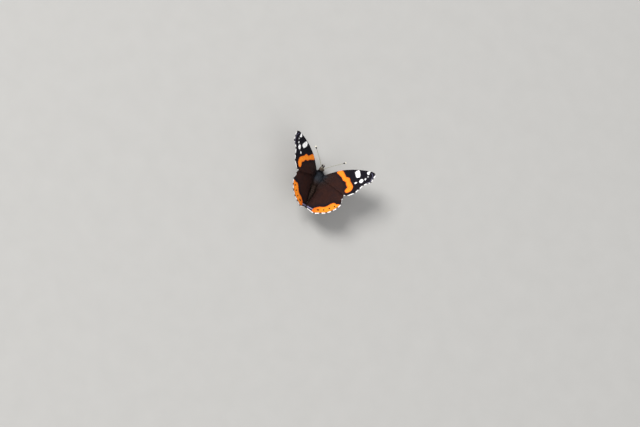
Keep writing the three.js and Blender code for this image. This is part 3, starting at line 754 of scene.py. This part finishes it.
# These lie on the lower side alone: blue bars, dark wavy lines, eyespots with their size, a pale patch.
CELL_BARS = [([(9.4, -8.6), (10.5, -7.4), (10.6, -6.2)], 0.22),
             ([(13.9, -10.9), (14.9, -9.6), (15.6, -8.0)], 0.25), ([(16.0, -14.2), (19.5, -15.2)], 0.3)]
BARK_LINES = [([(4.0, 1.0), (6.0, 4.0), (5.2, 7.5), (6.8, 11.0), (4.8, 14.0)], 0.3),
              ([(9.8, 0.2), (11.5, 4.0), (10.6, 7.4), (11.6, 10.4), (9.2, 13.4), (8.2, 17.5)], 0.35),
              ([(16.0, 2.2), (17.0, 6.2), (16.2, 9.6), (15.6, 12.4), (13.2, 15.6), (10.0, 18.4),
                (6.5, 19.2)], 0.25)]
EYESPOTS = [(18.9, 8.6, 0.45), (19.0, 12.2, 0.7), (17.6, 15.4, 0.55), (15.3, 18.1, 0.65), (12.2, 20.0, 0.75)]
PALE_PATCH = [(10.6, -0.7), (13.2, 0.2), (14.0, 2.0), (12.9, 3.2), (11.8, 1.8), (10.8, 0.8)]


def band_edge(place, outline):
    """How close a place lies to a band's edge, where red scales mix with the black ones."""
    return 0.85 * np.clip(1 + outline_distance(place, outline) / 0.7, 0, 1)


def inside(distance, soft=0.1):
    """One inside an outline and nothing outside it, with a soft edge."""
    return np.clip(0.5 - distance / (2 * soft), 0, 1)


def patch(place, outline, soft=0.1):
    return inside(outline_distance(place, outline), soft)


def streak(place, mark, soft=0.1):
    """One within half the width of a bent line and nothing outside it."""
    line, half_width = mark
    return inside(line_distance(place, curve_through(line, 12)) - half_width, soft)


def beyond_brown(place):
    """How far a place lies beyond the forewing's brown inner part, counted out from the hinge."""
    turn = np.degrees(np.arctan2(place[:, 1], place[:, 0]))
    return np.hypot(*place.T) - np.interp(turn, list(FOREWING_BROWN), list(FOREWING_BROWN.values()))


def blotches(place, size, seed):
    """Soft random blotches of about the given size, from nothing to one."""
    steps = place / size + 50
    cell = np.floor(steps).astype(int)
    (x, y), part = cell.T, steps - cell
    share_x, share_y = (part * part * (3 - 2 * part)).T
    tones = np.random.default_rng(seed).random((160, 160))
    near = tones[x, y] * (1 - share_x) + tones[x + 1, y] * share_x
    far = tones[x, y + 1] * (1 - share_x) + tones[x + 1, y + 1] * share_x
    return near * (1 - share_y) + far * share_y


def worn(place):
    """The brown scales are a little thinner in places, where the black ones under them show."""
    return 0.65 + 0.35 * np.clip(blotches(place, 2.4, 5) + blotches(place, 0.9, 6) - 0.3, 0, 1)


def forewing_marks(place, edge):
    spots = [patch(place, outline) for outline in (WHITE_PATCH, TIP_SPOT, LONG_SPOT)]
    spots += [streak(place, spot) for spot in SMALL_SPOTS] + [0.6 * streak(place, FAINT_SPOT)]
    return {"band": patch(place, FOREWING_BAND), "rust": band_edge(place, FOREWING_BAND),
            "white": np.max(spots, axis=0), "blue": 0.3 * streak(place, APEX_LINE),
            "warm": np.clip((-beyond_brown(place) - 1.5) / 4, 0, 1) * worn(place)}


def hindwing_marks(place, edge):
    black = np.max([streak(place, dot) for dot in BAND_DOTS], axis=0)
    band = patch(place, HINDWING_BAND) * (1 - black)
    band = band * (1 - inside(edge - 0.18, 0.06)) * (1 - streak(place, BAND_NOTCH))
    blue = 0.85 * streak(place, BLUE_STREAK)
    tail_middle, tail_reach = DARK_TAIL
    tail = inside(np.hypot(*((place - tail_middle) * (1, 1.6)).T) - tail_reach, 1.2)
    from_band = outline_distance(place, HINDWING_BAND)
    warm = (1 - tail) * np.clip((from_band - 0.3) / 2.5, 0, 1) * worn(place)
    rust = np.maximum(band_edge(place, HINDWING_BAND), 0.7 * np.clip((14.5 - place[:, 0]) / 4, 0, 1))
    return {"band": band, "rust": rust, "white": 0 * band, "blue": blue, "warm": warm}


def marbling(place):
    """Light and dark scales mixed like bark, different in every part of the wing."""
    mixed = 0.5 * blotches(place, 1.5, 1) + 0.32 * blotches(place, 0.7, 2) + 0.18 * blotches(place, 0.35, 3)
    return np.clip((mixed - 0.36) / 0.3, 0, 1)


def forewing_under_marks(place, edge):
    """The lower side repeats the upper one in paler colours, with a marbled tip and blue bars."""
    marks = forewing_marks(place, edge)
    bars = np.max([streak(place, bar) for bar in CELL_BARS], axis=0) * (1 - marks["band"])
    to_tip = np.clip((place[:, 0] - 21.5) / 2.0, 0, 1) * np.clip((2.0 - place[:, 1]) / 3, 0, 1)
    to_front = np.clip((-place[:, 1] - 0.93 * place[:, 0] - 0.4) / 0.6, 0, 1) * (place[:, 0] < 16)
    brown = np.maximum(np.maximum(to_tip, 0.6 * to_front), 0.5 * np.clip((place[:, 1] - 1) / 2, 0, 1))
    return {**marks, "rust": 0.3 + 0 * brown, "blue": np.maximum(bars, marks["blue"]), "warm": brown,
            "light": brown * marbling(place)}


def hindwing_under_marks(place, edge):
    """The lower side is marbled like bark, with dim eyespots and a pale patch at the front edge."""
    dark = np.max([streak(place, line, 0.25) for line in BARK_LINES], axis=0)
    away = np.min([np.hypot(*(place - spot[:2]).T) - spot[2] for spot in EYESPOTS], axis=0)
    dark = np.maximum(dark, inside(away, 0.15))
    blue = np.max([0.45 * inside(np.abs(edge - 1.3) - 0.22, 0.2), 0.5 * inside(away + 0.42, 0.12),
                   0.4 * np.clip(blotches(place, 2.2, 4) * 2.4 - 1.55, 0, 1)], axis=0)
    white = np.max([0.8 * patch(place, PALE_PATCH, 0.3), 0.35 * inside(edge - 0.4, 0.1),
                    0.3 * inside(np.abs(away - 0.15) - 0.1, 0.1)], axis=0)
    light = marbling(place) * (0.5 + 0.5 * np.clip((place[:, 0] - 9) / 6, 0, 1))
    return {"band": 0 * light, "rust": 0 * light, "white": white, "blue": blue * (1 - 0.5 * dark),
            "warm": 1 - 0.85 * dark, "light": light * (1 - dark)}


def wing_scales(name, colours):
    """Dull velvety scales, coloured by their marks, each a little lighter or darker than the next."""
    material, shader = new_material(name, 0.8, HORN_IOR)
    shares = {mark: add_node(material, "ShaderNodeAttribute", {}, attribute_name=mark).outputs["Fac"]
              for mark in ("warm", "light", "blue", "rust", "band", "white", "tone")}
    hues = {mark: linear(code) for mark, code in colours.items()}
    hues["band"] = add_node(material, "ShaderNodeMix", {
        0: shares["rust"], 6: hues["band"], 7: hues["rust"]}, data_type="RGBA").outputs[2]
    colour = hues["ground"]
    for mark in ("warm", "light", "blue", "band", "white"):
        colour = add_node(material, "ShaderNodeMix", {
            0: shares[mark], 6: colour, 7: hues[mark]}, data_type="RGBA").outputs[2]
    shade = add_node(material, "ShaderNodeHueSaturation", {"Value": shares["tone"], "Color": colour})
    material.node_tree.links.new(shade.outputs["Color"], shader.inputs["Base Color"])
    shader.inputs["Specular IOR Level"].default_value = 0.08      # light is trapped between the scales
    return material


upper_scales = wing_scales("velvet_upper_wing_scales", {
    "ground": "#16141a", "warm": "#331d18", "light": "#331d18", "blue": "#9590b0", "band": "#fa9128",
    "rust": "#dc5a1c", "white": "#fbf9f7"})
lower_scales = wing_scales("marbled_lower_wing_scales", {
    "ground": "#1f1815", "warm": "#453629", "light": "#93836f", "blue": "#77829f", "band": "#d9604a",
    "rust": "#c9776a", "white": "#efe9e0"})

UPPER_MARKS = {"forewing": forewing_marks, "hindwing": hindwing_marks}
LOWER_MARKS = {"forewing": forewing_under_marks, "hindwing": hindwing_under_marks}
SCALE_LENGTH, SCALE_WIDTH = 0.36, 0.21       # three times the real size, which is too fine to show
ROW_PITCH, SCALE_PITCH = 0.19, 0.16
SCALE = [(0, 0.45, 0), (0.5, 1.0, 0.04), (1.0, 0.75, 0.0)]
# Painted shade: the sheet shows only in the gaps between the scales, so it is drawn a little darker than they
# are.
SHEET_SHADE_TONE = 0.95                            # the sheet is a little darker than its scales


def scale_places(wing, rng):
    """Places for scales, in rows across the wing from its front to its hind edge."""
    count = int(run_along(wing.edges["leading"])[-1] / ROW_PITCH)
    places = []
    for row in range(count):
        along = (row + 0.5) / count
        line = wing.plan(0 * wing.share + along, wing.share)
        run = run_along(line)
        at = (np.arange(int(run[-1] / SCALE_PITCH)) + 0.5 * (row % 2)) * SCALE_PITCH
        across = np.interp(at + rng.uniform(-0.04, 0.04, len(at)), run, wing.share)
        places.append(np.stack([along + rng.uniform(-0.3, 0.3, len(at)) / count, across], axis=1))
    along, across = np.vstack(places).T
    kept = along < wing.sheet_end(across)
    return along[kept], across[kept]


for kind, wing in wings.items():
    for side, word in SIDES:
        name = f"{kind}_{word}"
        along, across = (grid.ravel() for grid in np.meshgrid(
            np.linspace(0, 1, SHEET_ALONG), np.linspace(0, 1, SHEET_ACROSS), indexing="ij"))
        along = along * wing.sheet_end(across)
        above, place = wing.surface(side, along, across, SHEET_THICKNESS / 2)
        below, _ = wing.surface(side, along, across, -SHEET_THICKNESS / 2)
        shape = (SHEET_ALONG, SHEET_ACROSS, 3)
        rings = np.concatenate([above.reshape(shape), below.reshape(shape)[:, ::-1]], axis=1)
        # The whole sheet takes the darker upper colours, so between the lower scales it shows as painted
        # shade.
        sheet = add_tube(name + "_sheet", rings, upper_scales)
        edge = wing.from_edge(along, across)
        lower_marks = LOWER_MARKS[kind](place, edge)
        store(sheet, "tone", np.full(rings.shape[0] * rings.shape[1], SHEET_SHADE_TONE))
        for mark, value in UPPER_MARKS[kind](place, edge).items():
            halves = [value.reshape(shape[:2]), lower_marks.get(mark, value).reshape(shape[:2])[:, ::-1]]
            store(sheet, mark, np.concatenate(halves, axis=1).ravel())
        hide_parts(name)
        for number, (surface, above, material, marks_of) in enumerate((
                ("upper", SHEET_THICKNESS / 2, upper_scales, UPPER_MARKS),
                ("lower", -SHEET_THICKNESS / 2, lower_scales, LOWER_MARKS))):
            rng = np.random.default_rng(500 + 10 * number + 2 * len(kind) + side)
            along, across = scale_places(wing, rng)
            roots, place, ahead, normals = wing.frames(side, along, across, above)
            ahead = leaning(ahead + np.cross(ahead, normals) * rng.normal(0, 0.08, (len(along), 1)), normals,
                            rng.uniform(0.06, 0.14, (len(along), 1)))
            marks = marks_of[kind](place + rng.normal(0, 0.06, place.shape), wing.from_edge(along, across))
            scales = plant(
                f"{name}_{surface}_scales", material, roots, ahead, normals,
                SCALE_LENGTH * rng.uniform(0.85, 1.15, len(along)),
                SCALE_WIDTH * rng.uniform(0.85, 1.1, len(along)), SCALE, wing.unwrapped(place),
                {**marks, "tone": rng.uniform(0.82, 1.18, len(along))})

# A thin fringe of long narrow scales edges each wing. They are chalk white between the veins and
# brown-black at the veins' ends, and duller than horn.
FRINGE_PITCH = 0.028
FRINGE_WIDTH = 0.13
FRINGE_SCALE = [(0, 0.6, 0), (0.5, 1.0, 0), (1.0, 0.5, 0)]
VEIN_END_DARK = 0.55                         # how far from a vein's end the fringe is dark

fringe_scales, shader = new_material("white_and_dark_fringe_scales", 0.6, HORN_IOR)
white = add_node(fringe_scales, "ShaderNodeAttribute", {}, attribute_name="white")
tint = add_node(fringe_scales, "ShaderNodeMix", {
    0: white.outputs["Fac"], 6: linear("#2a2220"), 7: linear("#fbf8f6")}, data_type="RGBA")
fringe_scales.node_tree.links.new(tint.outputs[2], shader.inputs["Base Color"])

for kind, wing in wings.items():
    margin = wing.edges["margin"]
    ends = np.array([vein[-1] for vein in wing.veins])
    ends = ends[np.array([np.linalg.norm(margin - end, axis=1).min() for end in ends]) < 0.6]
    for side, word in SIDES:
        rng = np.random.default_rng(700 + 2 * len(kind) + side)
        across = rng.uniform(0, 1, int(run_along(margin)[-1] / FRINGE_PITCH))
        along = wing.sheet_end(across) - rng.uniform(0.0, 0.01, len(across))
        roots, place, ahead, normals = wing.frames(side, along, across, SHEET_THICKNESS / 2)
        roots = roots - normals * rng.uniform(0, SHEET_THICKNESS, (len(across), 1))
        tip = wing.at("margin", across)
        near = np.linalg.norm(tip[:, None] - ends, axis=2).min(1)
        white = np.clip((near - VEIN_END_DARK) / 0.25 + rng.normal(0, 0.12, len(near)), 0, 1)
        ahead = leaning(ahead + np.cross(ahead, normals) * rng.normal(0, 0.12, (len(along), 1)), normals, 0)
        fringe = plant(
            f"{kind}_{word}_fringe", fringe_scales, roots, ahead, normals,
            FRINGE * rng.uniform(0.85, 1.2, len(across)), FRINGE_WIDTH * rng.uniform(0.8, 1.2, len(across)),
            FRINGE_SCALE, wing.unwrapped(place), {"white": white, "tone": rng.uniform(0.8, 1.1, len(across))})

# Long fine hair grows over the wing bases and along the hindwing's inner edge. It is grey like the
# thorax's hair at the hinge, and brown further out.
BASE_HAIR = 16000
HINGE_HAIR_REACH, HINGE_HAIR_END = 2.6, 8.0
for kind, wing in wings.items():
    for side, word in SIDES:
        rng = np.random.default_rng(800 + 2 * len(kind) + side)
        along, across = rng.uniform(0.02, 0.75, BASE_HAIR), rng.uniform(0.02, 0.98, BASE_HAIR)
        place = wing.plan(along, across)
        inner = place[:, 0] - wing.at("trailing", along)[:, 0]
        out = np.hypot(*place.T)
        density = np.exp(-out / HINGE_HAIR_REACH) * (out < HINGE_HAIR_END)
        density += 0.35 * np.exp(-inner / 2.0) * (kind == "hindwing")
        kept = rng.random(BASE_HAIR) < density
        along, across = along[kept], across[kept]
        roots, place, ahead, normals = wing.frames(side, along, across, SHEET_THICKNESS / 2)
        near_hinge = np.exp(-out[kept] / HINGE_HAIR_REACH)
        ahead = leaning(ahead + (0, 0.7, 0) + rng.normal(0, 0.15, ahead.shape), normals,
                        (0.1 + 0.8 * near_hinge)[:, None] * rng.uniform(0.5, 1.2, (len(along), 1)))
        hair = plant(
            f"{kind}_{word}_base_hair", body_hair, roots, ahead, normals,
            rng.uniform(0.8, 1.8, len(along)), rng.uniform(0.035, 0.06, len(along)), HAIR,
            wing.unwrapped(place),
            {"tone": rng.uniform(0.6, 1.3, len(along)), "pale": np.zeros(len(along)),
             "warm": np.clip(1.1 - near_hinge * 1.3 + rng.normal(0, 0.15, len(along)), 0, 1)})

# The hindwings' inner edges carry a fringe of brown hair, buff at the rear, which closes the slit behind
# the tail.
INNER_HAIR = 2600
hindwing = wings["hindwing"]
for side, word in SIDES:
    rng = np.random.default_rng(850 + side)
    along, across = rng.uniform(0.1, 0.96, INNER_HAIR), 1 - rng.uniform(0, 0.01, INNER_HAIR)
    roots, place, ahead, normals = hindwing.frames(side, along, across, SHEET_THICKNESS / 2)
    roots = roots - normals * SHEET_THICKNESS / 2
    ahead = leaning(side * np.cross(normals, ahead) * 0.8 + ahead + rng.normal(0, 0.15, ahead.shape), normals,
                    rng.normal(0, 0.15, (INNER_HAIR, 1)))
    behind_tail = np.clip((place[:, 1] - 15.5) / 2, 0, 1)
    hair = plant(
        f"hindwing_{word}_inner_hair", body_hair, roots, ahead, normals,
        rng.uniform(0.5, 1.0, INNER_HAIR), rng.uniform(0.04, 0.06, INNER_HAIR), HAIR,
        hindwing.unwrapped(place),
        {"tone": rng.uniform(0.7, 1.3, INNER_HAIR), "warm": np.ones(INNER_HAIR),
         "pale": 0.6 * behind_tail * rng.uniform(0.3, 1, INNER_HAIR)})

# The insect stands on a plain pale floor of matt paper, which spreads the light without a shine. The
# light is soft: a large key light at its left, a larger and weaker fill above, and the air around.
FLOOR_SIZE = 6.0                             # metres
PAPER_CLOUDS = 12                            # real fibres are too fine to show
bpy.ops.mesh.primitive_plane_add(size=FLOOR_SIZE, location=(0, 0, 0))
floor = bpy.context.object
floor.name = "studio_floor"
paper, shader = new_material("matt_paper", 0.9, 1.5)
place = add_node(paper, "ShaderNodeTexCoord", {}).outputs["Object"]
fibre = add_node(paper, "ShaderNodeTexNoise", {
    "Vector": place, "Scale": 1 / (PAPER_CLOUDS * MM), "Detail": 6.0})
tint = add_node(paper, "ShaderNodeMix", {
    0: fibre.outputs["Fac"], 6: linear("#a9a7a3"), 7: linear("#afada9")}, data_type="RGBA")
paper.node_tree.links.new(tint.outputs[2], shader.inputs["Base Color"])
floor.data.materials.append(paper)
floor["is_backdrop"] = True

middle = Vector(MIDDLE)


def soft_light(name, towards, distance, size, power):
    """A large square light that faces the insect."""
    data = bpy.data.lights.new(name, "AREA")
    data.size = size
    data.energy = power
    light = bpy.data.objects.new(name, data)
    light.location = middle + Vector(towards).normalized() * distance
    light.rotation_euler = Vector(towards).to_track_quat("Z", "Y").to_euler()
    light.visible_camera = False
    bpy.context.scene.collection.objects.link(light)


soft_light("key_light", (0.64, -0.1, 0.77), 3.0, 1.2, 96)
soft_light("top_fill", (-0.3, 0.5, 0.8), 3.0, 2.4, 32)

world = bpy.data.worlds.new("studio_air")
world.use_nodes = True
world.node_tree.nodes["Background"].inputs["Color"].default_value = linear("#e9ecf2")
world.node_tree.nodes["Background"].inputs["Strength"].default_value = 0.55
bpy.context.scene.world = world
bpy.context.scene.view_settings.view_transform = "Standard"

# The camera stands over two metres off with a long lens, at the photograph's angle and framing. It
# looks down on the insect from behind and a little from its left.
TO_CAMERA = Vector((0.2006, 0.3293, 0.9227))
PICTURE_UP = Vector((0.4741, -0.8568, 0.2027))
PICTURE_RIGHT = Vector((-0.8573, -0.3968, 0.3280))
AIM_RIGHT, AIM_UP = 1.585, -20.5             # the picture's middle, from the place in the thorax
PICTURE_WIDTH = 376.7
LENS, SENSOR = 200.0, 36.0

view = bpy.data.cameras.new("camera")
view.lens = LENS
view.sensor_width = SENSOR
camera = bpy.data.objects.new("camera", view)
bpy.context.scene.collection.objects.link(camera)
aim = middle + (PICTURE_RIGHT * AIM_RIGHT + PICTURE_UP * AIM_UP) * MM
turned = Matrix((PICTURE_RIGHT, PICTURE_UP, TO_CAMERA)).transposed().to_4x4()
camera.matrix_world = Matrix.Translation(aim + TO_CAMERA * PICTURE_WIDTH * MM * LENS / SENSOR) @ turned
bpy.context.scene.camera = camera

sizes = {"cad": [list(corner) for corner in cad_box], "visual": [list(corner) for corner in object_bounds()]}
